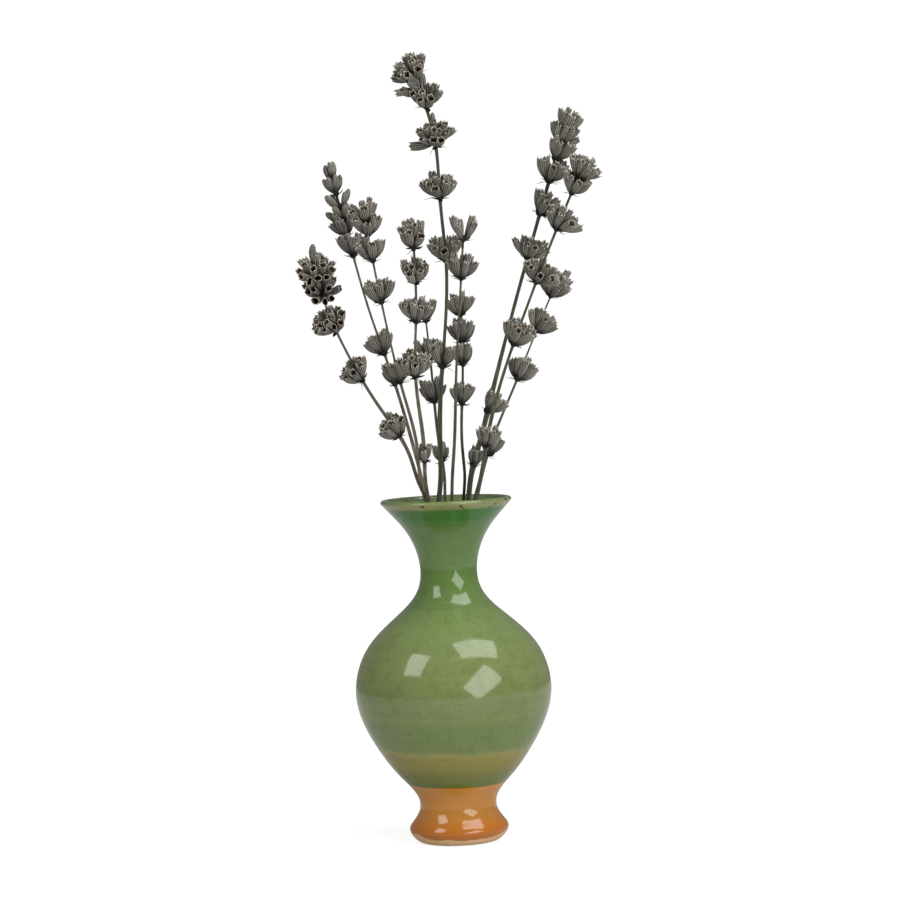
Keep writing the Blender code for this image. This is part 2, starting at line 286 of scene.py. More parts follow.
class Soup:
    """Vertices, faces and one four-value tag for each vertex, gathered into one mesh."""

    def __init__(self):
        self.points, self.faces, self.tags, self.count = [], [], [], 0

    def rings(self, rings, tags, close_first=None, close_last=None):
        """rings: (k, n, 3) in mm. tags: (k, n, 4) or (k, 4). The ends close on a point, or not."""
        rings = np.asarray(rings, float)
        k, n, _ = rings.shape
        tags = np.asarray(tags, float)
        if tags.ndim == 2:
            tags = np.repeat(tags[:, None, :], n, axis=1)
        first = self.count
        self.points.append(rings.reshape(-1, 3))
        self.tags.append(tags.reshape(-1, 4))
        self.count += k * n
        for row in range(k - 1):
            low = first + row * n
            for i in range(n):
                j = (i + 1) % n
                self.faces.append((low + i, low + j, low + n + j, low + n + i))
        for end, row in ((close_first, 0), (close_last, k - 1)):
            if end is None:
                continue
            self.points.append(np.asarray(end, float).reshape(1, 3))
            self.tags.append(tags[row].mean(0).reshape(1, 4))
            middle = self.count
            self.count += 1
            start = first + row * n
            for i in range(n):
                j = (i + 1) % n
                if row == 0:
                    self.faces.append((start + j, start + i, middle))
                else:
                    self.faces.append((start + i, start + j, middle))

    def make(self, name, tag="tag"):
        mesh = bpy.data.meshes.new(name)
        mesh.from_pydata((np.concatenate(self.points) * MM).tolist(), [], self.faces)
        layer = mesh.attributes.new(tag, "FLOAT_COLOR", "POINT")
        layer.data.foreach_set("color", np.concatenate(self.tags).astype(np.float32).ravel())
        mesh.shade_smooth()
        obj = bpy.data.objects.new(name, mesh)
        bpy.context.scene.collection.objects.link(obj)
        return obj


def path_rings(centres, n1, n2, ra, rb, around):
    """Rings of `around` points square to a path. n1, n2: (k, 3). ra, rb: (k,) or (k, around)."""
    centres, n1, n2 = (np.asarray(v, float) for v in (centres, n1, n2))
    k = len(centres)
    ra, rb = (np.broadcast_to(np.asarray(r, float).reshape(k, -1), (k, around)) for r in (ra, rb))
    angle = 2 * np.pi * np.arange(around) / around
    return (centres[:, None, :] + n1[:, None, :] * (ra * np.cos(angle))[:, :, None]
            + n2[:, None, :] * (rb * np.sin(angle))[:, :, None])


def bent_path(start, axis, out, lean_0, lean_1, length, t):
    """Points and directions at t (0 to 1) of a path that turns from lean_0 to lean_1 away
    from axis, towards out. Both leans are in radians."""
    fine = np.linspace(0, 1, 41)
    leans = lean_0 + (lean_1 - lean_0) * fine
    steps = np.cos(leans)[:, None] * axis + np.sin(leans)[:, None] * out
    walked = np.concatenate([np.zeros((1, 3)), np.cumsum((steps[1:] + steps[:-1]) / 2, axis=0) / 40]) * length
    t = np.asarray(t, float)
    spots = np.stack([np.interp(t, fine, walked[:, i]) for i in range(3)], axis=1)
    over = t > 1
    here = lean_0 + (lean_1 - lean_0) * np.clip(t, 0, 1)
    way = np.cos(here)[:, None] * axis + np.sin(here)[:, None] * out
    spots = spots + way * (np.where(over, t - 1, 0) * length)[:, None]
    return np.asarray(start) + spots, way


# ---------------------------------------------------------------- calyx
RIBS = 12
AROUND = 2 * RIBS
CALYX_LENGTH = 6.0      # mm, from the stem to the mouth
CALYX_RADIUS = 1.08     # at its widest

# along the calyx, radius as a share of the widest, how deep the ribs are
OPEN_OUTSIDE = [(0.00, 0.26, 0.0), (0.05, 0.36, 0.4), (0.14, 0.50, 0.8), (0.27, 0.69, 1.0),
                (0.42, 0.87, 1.0), (0.58, 0.99, 1.0), (0.74, 1.02, 1.0), (0.87, 0.98, 0.9),
                (0.96, 0.94, 0.7), (1.00, 1.00, 0.5)]
OPEN_INSIDE = [(1.005, 0.88), (0.96, 0.78), (0.84, 0.74), (0.62, 0.66), (0.40, 0.44)]
BUD_OUTSIDE = [(0.00, 0.26, 0.0), (0.06, 0.40, 0.4), (0.16, 0.58, 0.8), (0.32, 0.84, 1.0),
               (0.50, 1.00, 1.0), (0.66, 0.99, 1.0), (0.80, 0.88, 1.0), (0.91, 0.66, 0.8),
               (0.97, 0.40, 0.5), (1.00, 0.18, 0.2)]


def calyx(soup, rng, start, axis, out, lean_0, lean_1, size=1.0, closed=False, length=None):
    """One dried flower cup: a ribbed tube, open at the top with a toothed rim."""
    length = (length or CALYX_LENGTH * size) * rng.uniform(0.88, 1.10)
    widest = CALYX_RADIUS * size * rng.uniform(0.86, 1.12)
    rows = BUD_OUTSIDE if closed else OPEN_OUTSIDE
    t = np.array([r[0] for r in rows])
    spots, ways = bent_path(start, axis, out, lean_0, lean_1, length, t)
    across = unit(np.cross(axis, out))
    n1 = np.repeat(across[None, :], len(t), axis=0)
    n2 = np.cross(ways, n1)
    angle = 2 * np.pi * np.arange(AROUND) / AROUND
    oval = rng.uniform(0.80, 1.18)
    turned = rng.uniform(0, 2 * np.pi)
    wobble = 1 + 0.05 * np.sin(2 * angle + turned) + 0.03 * np.sin(3 * angle + 2 * turned)
    rib = 1 - 0.20 * np.array([r[2] for r in rows])[:, None] * (np.arange(AROUND) % 2)[None, :]
    radius = widest * np.array([r[1] for r in rows])[:, None] * rib * wobble[None, :]
    rings = path_rings(spots, n1, n2, radius * oval, radius / oval, AROUND)
    teeth = (0.34 * np.cos(5 * angle + turned) + 0.30 * np.cos(angle - turned)
             + rng.uniform(-0.12, 0.12, AROUND)) * size
    tone = rng.uniform(0, 1)
    # tag: rib (1) or groove (0); along; this calyx's own tone; 1 outside, 0.5 rim, 0 inside
    tags = np.zeros((len(t), AROUND, 4))
    tags[:, :, 0] = 1 - (np.arange(AROUND) % 2)[None, :]
    tags[:, :, 1] = t[:, None]
    tags[:, :, 2] = tone
    tags[:, :, 3] = 1.0
    if closed:
        soup.rings(rings, tags, close_first=spots[0], close_last=spots[-1] + ways[-1] * 0.06 * size)
        return
    rings[-1] += ways[-1][None, :] * teeth[:, None]
    rings[-2] += ways[-2][None, :] * 0.4 * teeth[:, None]
    tags[-1, :, 3] = 0.5
    tags[-2, :, 3] = 0.75
    t_in = np.array([r[0] for r in OPEN_INSIDE])
    spots_in, ways_in = bent_path(start, axis, out, lean_0, lean_1, length, t_in)
    n1_in = np.repeat(across[None, :], len(t_in), axis=0)
    n2_in = np.cross(ways_in, n1_in)
    radius_in = widest * np.array([r[1] for r in OPEN_INSIDE])[:, None] * wobble[None, :]
    rings_in = path_rings(spots_in, n1_in, n2_in, radius_in * oval, radius_in / oval, AROUND)
    rings_in[0] += ways_in[0][None, :] * teeth[:, None]
    rings_in[1] += ways_in[1][None, :] * 0.5 * teeth[:, None]
    tags_in = np.zeros((len(t_in), AROUND, 4))
    tags_in[:, :, 0] = 0.5
    tags_in[:, :, 1] = t_in[:, None]
    tags_in[:, :, 2] = tone
    tags_in[0, :, 3] = 0.5
    tags_in[1, :, 3] = 0.3
    bottom, _ = bent_path(start, axis, out, lean_0, lean_1, length, [0.33])
    soup.rings(np.concatenate([rings, rings_in]), np.concatenate([tags, tags_in]),
               close_first=spots[0], close_last=bottom[0])


def leaf(soup, start, axis, out, lean_0, lean_1, length, width, thick, tone, dark=0.15):
    """A thin pointed bract, or a thread if it is as thick as it is wide."""
    t = np.array([0.0, 0.15, 0.4, 0.7, 0.9, 1.0])
    shape = np.array([0.55, 0.85, 1.0, 0.72, 0.34, 0.08])
    spots, ways = bent_path(start, axis, out, lean_0, lean_1, length, t)
    across = unit(np.cross(axis, out))
    n1 = np.repeat(across[None, :], len(t), axis=0)
    n2 = np.cross(ways, n1)
    rings = path_rings(spots, n1, n2, shape * width / 2, np.maximum(shape, 0.4) * thick / 2, 6)
    tags = np.zeros((len(t), 4))
    tags[:, 0] = dark
    tags[:, 1] = 0.3 * t
    tags[:, 2] = tone
    tags[:, 3] = 1.0
    soup.rings(rings, tags, close_first=spots[0], close_last=spots[-1])


def cluster(soup, rng, base, axis, stem, radius, outer, inner, size=1.0, closed=False,
            nod=(0, 0, 0), spread=1.0, bracts=5, threads=3):
    """A whorl: an outer and an inner ring of calyces round the stem, bracts and threads."""
    tangent_way = unit(axis)
    axis = unit(tangent_way + np.asarray(nod, float))
    side = unit(np.cross((0, 1, 0) if abs(axis[1]) < 0.9 else (1, 0, 0), axis))
    front = np.cross(axis, side)
    length = CALYX_LENGTH * size
    room = max(0.12, min(0.92, (radius - 0.5 - 0.8 * CALYX_RADIUS * size) / length))
    middle = math.asin(room) * spread
    phase = rng.uniform(0, 2 * math.pi)
    for i in range(outer):
        a = phase + 2 * math.pi * (i + rng.uniform(-0.26, 0.26)) / outer
        out = math.cos(a) * side + math.sin(a) * front
        start = base + out * (stem * 0.35 + 0.25) + axis * rng.uniform(0.0, 0.7)
        m = middle + rng.uniform(-0.20, 0.16)
        bend = rng.uniform(0.14, 0.36)
        calyx(soup, rng, start, axis, out, m + bend, m - bend, size, closed)
    for i in range(inner):
        a = phase + 0.4 + 2 * math.pi * (i + rng.uniform(-0.28, 0.28)) / max(inner, 1)
        out = math.cos(a) * side + math.sin(a) * front
        start = base + out * (stem * 0.35 + 0.2) + axis * rng.uniform(0.7, 1.3)
        m = 0.45 * middle + rng.uniform(-0.12, 0.14)
        calyx(soup, rng, start, axis, out, m + 0.20, m - 0.14, size * 0.96, closed)
    # the swollen node of the stem under the cups
    t = np.array([-0.7, -0.3, 0.2, 0.8, 1.5])
    spots = base[None, :] + tangent_way[None, :] * t[:, None]
    s2 = unit(np.cross((0, 1, 0) if abs(tangent_way[1]) < 0.9 else (1, 0, 0), tangent_way))
    f2 = np.cross(tangent_way, s2)
    swell = stem * 0.5 + np.array([0.02, 0.38, 0.62, 0.55, 0.10]) * size
    n1 = np.repeat(s2[None, :], 5, axis=0)
    n2 = np.repeat(f2[None, :], 5, axis=0)
    tags = np.tile(np.array([0.25, 0.0, rng.uniform(0, 1), 1.0]), (5, 1))
    soup.rings(path_rings(spots, n1, n2, swell, swell, 12), tags, close_first=spots[0], close_last=spots[-1])
    for i in range(bracts):
        a = phase + 0.3 + 2 * math.pi * (i + rng.uniform(-0.3, 0.3)) / bracts
        out = math.cos(a) * side + math.sin(a) * front
        leaf(soup, base + out * stem * 0.45 + axis * -0.1, axis, out, rng.uniform(1.5, 2.0), rng.uniform(0.5, 1.2),
             rng.uniform(1.9, 3.0) * size, rng.uniform(1.0, 1.6) * size, 0.16, rng.uniform(0, 1))
    for i in range(threads):
        a = rng.uniform(0, 2 * math.pi)
        out = math.cos(a) * side + math.sin(a) * front
        leaf(soup, base + out * stem * 0.45 + axis * rng.uniform(-0.3, 0.6), axis, out, rng.uniform(1.2, 2.2),
             rng.uniform(1.0, 2.2), rng.uniform(2.0, 4.2) * size, 0.22, 0.2, rng.uniform(0, 1), 0.4)


# ---------------------------------------------------------------- shaders
class Graph:
    """Short names for adding shader nodes."""

    def __init__(self, name):
        self.material = bpy.data.materials.new(name)
        self.material.use_nodes = True
        self.tree = self.material.node_tree
        self.shader = self.tree.nodes["Principled BSDF"]

    def add(self, kind, **settings):
        node = self.tree.nodes.new(kind)
        for key, value in settings.items():
            setattr(node, key, value)
        return node

    def put(self, socket, value):
        if isinstance(value, bpy.types.NodeSocket):
            self.tree.links.new(value, socket)
        else:
            socket.default_value = value

    def math(self, operation, a, b=0.0, clamp=False):
        node = self.add("ShaderNodeMath", operation=operation, use_clamp=clamp)
        self.put(node.inputs[0], a)
        self.put(node.inputs[1], b)
        return node.outputs[0]

    def mix(self, share, a, b, blend="MIX"):
        node = self.add("ShaderNodeMix", data_type="RGBA", blend_type=blend)
        self.put(node.inputs[0], share)
        self.put(node.inputs[6], a)
        self.put(node.inputs[7], b)
        return node.outputs[2]

    def coords(self, scale=(1, 1, 1)):
        node = self.add("ShaderNodeMapping")
        self.tree.links.new(self.add("ShaderNodeTexCoord").outputs["Object"], node.inputs["Vector"])
        node.inputs["Scale"].default_value = scale
        return node.outputs["Vector"]

    def noise(self, vector, scale, detail=2.0, rough=0.5):
        node = self.add("ShaderNodeTexNoise")
        self.put(node.inputs["Vector"], vector)
        self.put(node.inputs["Scale"], scale)
        self.put(node.inputs["Detail"], detail)
        self.put(node.inputs["Roughness"], rough)
        return node.outputs["Fac"]

    def ramp(self, value, stops, interpolation="LINEAR"):
        node = self.add("ShaderNodeValToRGB")
        node.color_ramp.interpolation = interpolation
        elements = node.color_ramp.elements
        elements[0].position, elements[0].color = stops[0]
        elements[1].position, elements[1].color = stops[-1]
        for position, colour in stops[1:-1]:
            elements.new(position).color = colour
        self.put(node.inputs[0], value)
        return node.outputs[0]

    def step(self, value, start, end):
        """0 before start, 1 after end, smooth between."""
        node = self.add("ShaderNodeMapRange", interpolation_type="SMOOTHSTEP")
        self.put(node.inputs["Value"], value)
        self.put(node.inputs["From Min"], start)
        self.put(node.inputs["From Max"], end)
        return node.outputs["Result"]

    def bump(self, height, strength, distance):
        node = self.add("ShaderNodeBump")
        self.put(node.inputs["Height"], height)
        self.put(node.inputs["Strength"], strength)
        self.put(node.inputs["Distance"], distance)
        self.tree.links.new(node.outputs["Normal"], self.shader.inputs["Normal"])


def grey(value):
    return (value, value, value, 1.0)


# the glaze by height up the vase, mm, as it looks under even light
GREEN = [(28, 108, 122, 66), (30.5, 104, 120, 65), (34, 104, 120, 67), (38, 111, 124, 72), (42, 111, 123, 76),
         (46.5, 112, 124, 73), (50, 116, 127, 76), (58, 115, 129, 76), (64, 114, 131, 78), (67, 108, 127, 73), (69, 98, 121, 67), (74, 94, 121, 60), (79, 90, 117, 57), (86, 91, 118, 61), (91.4, 88, 115, 60), (95, 84, 114, 58),
         (96.9, 100, 118, 66), (97.5, 132, 134, 88), (98.3, 140, 138, 94), (98.9, 128, 134, 86),
         (99.25, 112, 130, 76), (99.7, 104, 126, 70)]
KHAKI = [(16, 86, 98, 31), (18.5, 90, 102, 34), (20.5, 104, 105, 39), (23, 124, 116, 50), (25.5, 131, 122, 55),
         (28.5, 125, 116, 57)]
AMBER = [(2, 161, 94, 29), (4, 177, 100, 28), (6, 184, 111, 35), (7.7, 182, 119, 48), (10.2, 183, 122, 49),
         (13.7, 186, 123, 49), (16.4, 188, 127, 51), (17.6, 184, 115, 40)]


def by_height(graph, z, rows):
    return graph.ramp(graph.math("MULTIPLY", z, 10.0), [(h / 100, srgb(r, g, b)) for h, r, g, b in rows])


def glaze_material():
    graph = Graph("fired_glaze")
    place = graph.coords()
    split = graph.add("ShaderNodeSeparateXYZ")
    graph.tree.links.new(place, split.inputs[0])
    z = split.outputs["Z"]
    soft = graph.noise(graph.coords((1, 1, 0.25)), 34, 2.0, 0.5)      # slow wandering round the pot
    sharp = graph.noise(graph.coords((1, 1, 0.3)), 120, 3.0, 0.6)
    streak = graph.noise(graph.coords((9, 9, 950)), 1.0, 3.0, 0.55)    # throwing lines
    broad = graph.noise(graph.coords((5, 5, 230)), 1.0, 2.0, 0.5)
    mottle = graph.noise(place, 1700, 3.0, 0.65)
    green = by_height(graph, z, GREEN)
    khaki = by_height(graph, z, KHAKI)
    amber = by_height(graph, z, AMBER)
    # the deep pool of glaze under the lip, uneven round the neck
    pool_low = graph.math("ADD", graph.math("MULTIPLY", soft, 0.0030), 0.0912)
    pool = graph.math("MULTIPLY", graph.step(z, graph.math("SUBTRACT", pool_low, 0.0016), graph.math("ADD", pool_low, 0.0028)),
                      graph.step(z, 0.0975, 0.0967))
    lobes = graph.step(graph.noise(graph.coords((1, 1, 0.1)), 62, 1.0, 0.5), 0.30, 0.56)
    pool = graph.math("MULTIPLY", pool, graph.math("ADD", graph.math("MULTIPLY", lobes, 0.45), 0.50))
    green = graph.mix(pool, green, srgb(52, 106, 38))
    # where the green overlaps the bare amber, and where each ends
    edge_1 = graph.math("ADD", graph.math("MULTIPLY", soft, 0.0034), graph.math("MULTIPLY", sharp, 0.0012))
    edge_1 = graph.math("SUBTRACT", graph.math("ADD", z, edge_1), 0.0023)
    colour = graph.mix(graph.step(edge_1, 0.0275, 0.0284), khaki, green)
    thin = graph.math("MULTIPLY", graph.step(edge_1, 0.0262, 0.0272), graph.step(edge_1, 0.0288, 0.0278))
    colour = graph.mix(graph.math("MULTIPLY", thin, 0.30), colour, srgb(160, 148, 88))
    edge_2 = graph.math("ADD", z, graph.math("MULTIPLY", graph.math("SUBTRACT", soft, 0.5), 0.0014))
    colour = graph.mix(graph.step(edge_2, 0.01705, 0.01745), amber, colour)
    # streaks, broad bands and a fine mottle
    colour = graph.mix(graph.step(streak, 0.50, 0.78), colour, graph.mix(0.05, colour, srgb(190, 205, 150)))
    colour = graph.mix(graph.step(broad, 0.50, 0.78), colour, graph.mix(0.16, colour, srgb(70, 84, 46)))
    blotch = graph.noise(place, 240, 3.0, 0.6)
    colour = graph.mix(graph.math("MULTIPLY", graph.step(blotch, 0.46, 0.66), graph.step(z, 0.020, 0.034)), colour,
                       graph.mix(0.16, colour, srgb(66, 78, 34)))
    grains = graph.math("ADD", graph.math("MULTIPLY", graph.step(z, 0.0168, 0.0180), 0.72), 0.28)
    colour = graph.mix(graph.math("MULTIPLY", graph.step(mottle, 0.48, 0.70), grains), colour,
                       graph.mix(0.26, colour, srgb(52, 66, 32)))
    # pale specks, a few in the whole pot
    cells = graph.add("ShaderNodeTexVoronoi")
    graph.put(cells.inputs["Vector"], place)
    graph.put(cells.inputs["Scale"], 150.0)
    rare = graph.math("GREATER_THAN", cells.outputs["Color"], 0.60)
    speck = graph.math("MULTIPLY", graph.step(cells.outputs["Distance"], 0.070, 0.040), rare)
    speck = graph.math("MULTIPLY", speck, graph.step(z, 0.029, 0.031))
    colour = graph.mix(graph.math("MULTIPLY", speck, 0.55), colour, srgb(186, 192, 146))
    # pinholes along the lip
    holes = graph.add("ShaderNodeTexVoronoi")
    graph.put(holes.inputs["Vector"], place)
    graph.put(holes.inputs["Scale"], 420.0)
    pin = graph.math("MULTIPLY", graph.step(holes.outputs["Distance"], 0.34, 0.22),
                     graph.math("GREATER_THAN", holes.outputs["Color"], 0.42))
    pin = graph.math("MULTIPLY", pin, graph.math("MULTIPLY", graph.step(z, 0.0970, 0.0974), graph.step(z, 0.0996, 0.0993)))
    colour = graph.mix(graph.math("MULTIPLY", pin, 0.90), colour, srgb(48, 36, 20))
    # the inside of the lip and the throat: the green is painted darker down the throat as painted shade
    tag = graph.add("ShaderNodeAttribute", attribute_name="tag")
    parts = graph.add("ShaderNodeSeparateColor")
    graph.tree.links.new(tag.outputs["Color"], parts.inputs[0])
    colour = graph.mix(parts.outputs[0], colour, graph.mix(graph.step(z, 0.080, 0.0985), srgb(62, 80, 42), srgb(108, 126, 80)))
    # bare clay at the foot, under a glaze edge that wanders
    edge_3 = graph.math("ADD", z, graph.math("MULTIPLY", graph.math("SUBTRACT", soft, 0.5), 0.0026))
    edge_3 = graph.math("ADD", edge_3, graph.math("MULTIPLY", graph.math("SUBTRACT", sharp, 0.5), 0.0014))
    rise = graph.step(graph.math("ABSOLUTE", split.outputs["X"]), 0.0070, 0.0138)
    edge_3 = graph.math("SUBTRACT", edge_3, graph.math("MULTIPLY", rise, 0.0009))
    bare = graph.step(edge_3, 0.00235, 0.00190)
    clay = graph.mix(graph.noise(place, 900, 4.0, 0.7), srgb(196, 154, 108), srgb(220, 188, 144))
    colour = graph.mix(bare, colour, clay)
    graph.put(graph.shader.inputs["Base Color"], colour)
    rough = graph.math("ADD", graph.math("MULTIPLY", bare, 0.62), graph.math("MULTIPLY", mottle, 0.10))
    graph.put(graph.shader.inputs["Roughness"], graph.math("ADD", rough, 0.05))
    graph.shader.inputs["IOR"].default_value = 1.5
    height = graph.math("ADD", graph.math("MULTIPLY", streak, 0.5), graph.math("MULTIPLY", broad, 0.8))
    height = graph.math("SUBTRACT", height, graph.math("MULTIPLY", pin, 1.6))
    height = graph.math("ADD", height, graph.math("MULTIPLY", graph.math("SUBTRACT", 1.0, bare), 0.6))
    graph.bump(height, 0.22, 0.00012)
    return graph.material


def calyx_material():
    graph = Graph("dried_calyx_veined")
    tag = graph.add("ShaderNodeAttribute", attribute_name="tag")
    parts = graph.add("ShaderNodeSeparateColor")
    graph.tree.links.new(tag.outputs["Color"], parts.inputs[0])
    rib, along, tone, zone = parts.outputs[0], parts.outputs[1], parts.outputs[2], tag.outputs["Alpha"]
    fine = graph.noise(graph.coords(), 2600, 4.0, 0.7)
    slow = graph.noise(graph.coords(), 320, 2.0, 0.5)
    ribs = graph.mix(tone, srgb(144, 140, 133), srgb(184, 177, 166))
    ribs = graph.mix(graph.step(slow, 0.45, 0.75), ribs, srgb(160, 147, 138))
    # painted shade: the grooves between the ribs are near black, as shade in the creases; bracts, threads and stem
    # nodes take this colour too, by their tag
    groove = graph.mix(tone, srgb(42, 40, 38), srgb(62, 58, 53))
    colour = graph.mix(graph.step(rib, 0.15, 0.95), groove, ribs)
    colour = graph.mix(graph.math("MULTIPLY", graph.step(fine, 0.5, 0.75), 0.5), colour, srgb(178, 172, 160))
    # painted shade: each calyx darkens towards its base, where the cups crowd round the stem, and the stem nodes darken
    # with it
    colour = graph.mix(graph.math("MULTIPLY", graph.step(along, 0.55, 0.06), 0.88), colour, srgb(34, 32, 30))
    # the pale rim, then the brown inside, painted darker deeper in the cup as painted shade
    rim = graph.step(graph.math("ABSOLUTE", graph.math("SUBTRACT", zone, 0.52)), 0.22, 0.05)
    worn = graph.math("ADD", graph.math("MULTIPLY", graph.step(graph.noise(graph.coords(), 900, 2.0, 0.5), 0.40, 0.60), 0.6), 0.4)
    colour = graph.mix(graph.math("MULTIPLY", rim, worn), colour, srgb(204, 199, 188))
    inside = graph.mix(graph.step(along, 0.55, 0.98), srgb(34, 25, 18), srgb(104, 82, 62))
    colour = graph.mix(graph.step(zone, 0.46, 0.25), colour, inside)
    graph.put(graph.shader.inputs["Base Color"], colour)
    graph.put(graph.shader.inputs["Roughness"], graph.math("ADD", graph.math("MULTIPLY", fine, 0.2), 0.72))
    graph.shader.inputs["Specular IOR Level"].default_value = 0.25
    graph.bump(fine, 0.5, 0.00012)
    return graph.material


def stem_material(name, light, dark, brown):
    graph = Graph(name)
    tag = graph.add("ShaderNodeAttribute", attribute_name="tag")
    parts = graph.add("ShaderNodeSeparateColor")
    graph.tree.links.new(tag.outputs["Color"], parts.inputs[0])
    grain = graph.noise(graph.coords((1500, 1500, 110)), 1.0, 3.0, 0.6)
    patch = graph.noise(graph.coords((60, 60, 24)), 1.0, 2.0, 0.5)
    colour = graph.mix(graph.step(grain, 0.35, 0.70), srgb(*dark), srgb(*light))
    colour = graph.mix(graph.math("MULTIPLY", graph.step(patch, 0.42, 0.66), 0.55), colour, srgb(*brown))
    colour = graph.mix(graph.math("MULTIPLY", parts.outputs[0], 0.35), colour, srgb(*[min(255, c + 38) for c in light]))
    graph.put(graph.shader.inputs["Base Color"], colour)
    graph.put(graph.shader.inputs["Roughness"], graph.math("ADD", graph.math("MULTIPLY", grain, 0.25), 0.5))
    graph.shader.inputs["Specular IOR Level"].default_value = 0.3
    graph.bump(grain, 0.5, 0.00008)
    return graph.material


# ---------------------------------------------------------------- vase
def outside_stations():
    """(radius, height) up the outside, from the middle of the base to the lip."""
    # the under side of the foot's roll is rounded more than the flat-sided block of the CAD
    under = spline([(0.0, 11.3), (0.35, 11.95), (0.9, 12.7), (1.6, 13.4), (2.5, 14.0), (3.4, 14.32)])
    points = [(0.02, 0.0), (6.0, 0.0), (10.9, 0.0), (11.25, 0.02)]
    points += [(float(under(z)[0]), float(z)) for z in np.linspace(0.12, 3.2, 20)]
    points += [(outside(z), float(z)) for z in np.linspace(3.6, 20.0, 42)]
    points += [(outside(z), float(z)) for z in np.linspace(20.8, 92.0, 96)]
    points += [(outside(z), float(z)) for z in np.linspace(92.5, LIP_Z, 16)]
    return points


def lip_stations():
    """The rounded lip between the outside and the inside."""
    middle, half = LIP_RADIUS - 0.85, 0.88
    points = []
    for k in range(1, 12):
        a = math.pi * k / 12
        points.append((middle + half * math.cos(a), LIP_Z + 0.98 * math.sin(a) - 0.10 * (1 - math.cos(a)) / 2))
    return points


def inside_stations():
    heights = list(np.linspace(98.3, 60.0, 60)) + list(np.linspace(59.0, BOWL_Z, 40)) + [14.2, 13.2, 12.0, 10.8, 9.7, 8.9, 8.35, 8.05]
    return [(inside_radius(z), float(z)) for z in heights]


def build_vase(made):
    around = 192
    outer, lip, inner = outside_stations(), lip_stations(), inside_stations()
    profile = outer + lip + inner
    inward = [0.0] * len(outer) + [float(np.clip((k - 5) / 6, 0, 1)) for k in range(len(lip))] + [1.0] * len(inner)
    angle = 2 * np.pi * np.arange(around) / around
    rings = np.zeros((len(profile), around, 3))
    for row, (radius, height) in enumerate(profile):
        # a hand-thrown pot: a few hundredths of a millimetre out of round
        wander = 0.035 * np.sin(2 * angle + 0.7 + 0.02 * height) + 0.02 * np.sin(3 * angle + 2.1)
        r = radius + wander * min(1.0, radius / 10)
        rings[row, :, 0] = r * np.cos(angle)
        rings[row, :, 1] = r * np.sin(angle)
        rings[row, :, 2] = height
    tags = np.zeros((len(profile), 4))
    tags[:, 0] = inward
    tags[:, 3] = 1.0
    soup = Soup()
    soup.rings(rings, tags, close_first=(0, 0, 0), close_last=(0, 0, FLOOR_Z))
    vase = soup.make("vase_body_glazed")
    vase.data.materials.append(made)
    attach(vase, "vase")
    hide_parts("vase_body")
    return vase


# ---------------------------------------------------------------- stems
def build_stem(number, sprig, made):
    """A square stem with rounded, ridged corners and slightly hollow faces."""
    rng = np.random.default_rng(900 + number)
    point = centreline(sprig)
    low, high = stem_end(sprig), sprig["tip"][0] - sprig["tip"][2] * 0.5 + 0.6
    heights = np.concatenate([np.linspace(low, 78, 14, endpoint=False),
                              np.linspace(78, high, int((high - 78) / 1.6) + 2)])
    nodes = [s[0] - 0.5 * s[2] for s in sprig["whorls"]]
    around = 24
    angle = 2 * np.pi * np.arange(around) / around
    # a rounded square, with each face a little hollow
    square = 1 / np.maximum(abs(np.cos(angle)), abs(np.sin(angle)))
    shape = 0.62 * square + 0.38 * (1 + 0.16 * np.cos(4 * (angle - math.pi / 4)))
    shape = shape / shape.max() * math.sqrt(2)
    corner = np.clip((shape - shape.min()) / (shape.max() - shape.min()), 0, 1)
    rings, tags = [], []
    for z in heights:
        here = np.array(point(float(z)))
        along = np.array(tangent(point, float(z)))
        side, front = square_axes(Vector(along))
        thin = min(1.0, max(0.0, (z - 116) / 34))
        half = sprig["stem"] * 0.42 * (1.0 - 0.36 * thin * thin * (3 - 2 * thin))
        near = min([abs(z - n) for n in nodes] + [99])
        half *= 1 + (0.16 * math.exp(-(near / 1.6) ** 2) if z > STRAIGHT_TO else 0)
        half *= 1 + (rng.uniform(-0.03, 0.03) if z > MOUTH_LEVEL else 0)
        twist = 0.0
        a = angle + twist
        r = half * shape
        rings.append(here[None, :] + np.array(side)[None, :] * (r * np.cos(a))[:, None]
                     + np.array(front)[None, :] * (r * np.sin(a))[:, None])
        tag = np.zeros((around, 4))
        tag[:, 0] = corner
        tag[:, 1] = (z - low) / (high - low)
        tag[:, 3] = 1
        tags.append(tag)
    soup = Soup()
    soup.rings(rings, tags, close_first=np.mean(rings[0], axis=0), close_last=np.mean(rings[-1], axis=0))
    stem = soup.make(f"sprig_{number:02d}_stem_ridged")
    stem.data.materials.append(made)
    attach(stem, f"sprig_{number:02d}")
    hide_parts(f"sprig_{number:02d}_stem")


